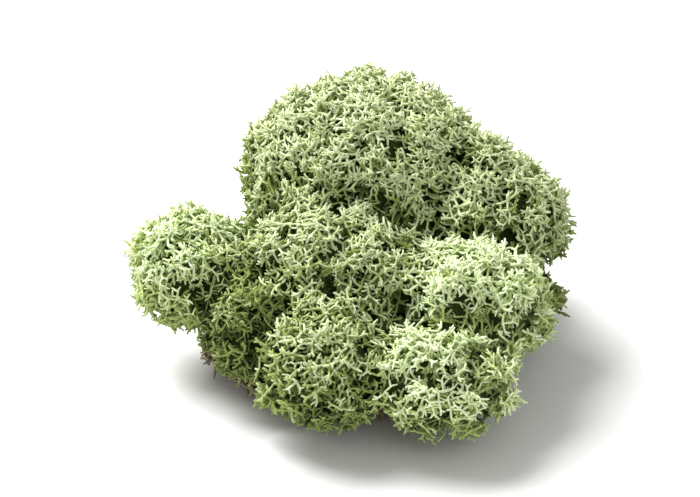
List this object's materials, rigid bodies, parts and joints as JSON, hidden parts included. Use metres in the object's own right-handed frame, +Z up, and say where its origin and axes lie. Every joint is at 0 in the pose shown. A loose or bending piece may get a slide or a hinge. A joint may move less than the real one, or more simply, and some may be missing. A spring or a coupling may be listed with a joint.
{
  "type": "reindeer moss clump",
  "caption": "Cushion of preserved reindeer lichen: rounded heads of forked, star-tipped branchlets pressed together on a mat of bare old stems, resting on a small flat spot.",
  "frame": {"origin": "centre of the small flat spot on the underside that the clump rests on", "axes": "+Z up, +X along the clump's widest extent, -Y towards its low front"},
  "size_m": [0.1154, 0.1127, 0.0691],
  "materials": {
    "moss": "matt, dry and springy, sage green",
    "moss_pale": "matt, dry and springy, pale sage with cream tips",
    "moss_deep": "matt, dry and springy, deeper olive sage",
    "stems": "matt, dry, grey olive to brown"
  },
  "bodies": {
    "root": {"head_crown": "moss", "head_shoulder": "moss_deep", "head_tongue": "moss_pale", "head_hollow": "moss_deep", "head_middle": "moss", "head_pale": "moss_pale", "head_front_left": "moss", "head_front_right": "moss_pale", "head_back_left": "moss", "head_back_right": "moss", "head_low_back": "moss_deep", "head_low_right": "moss_deep", "stem_mat": "stems"}
  },
  "joints": []
}
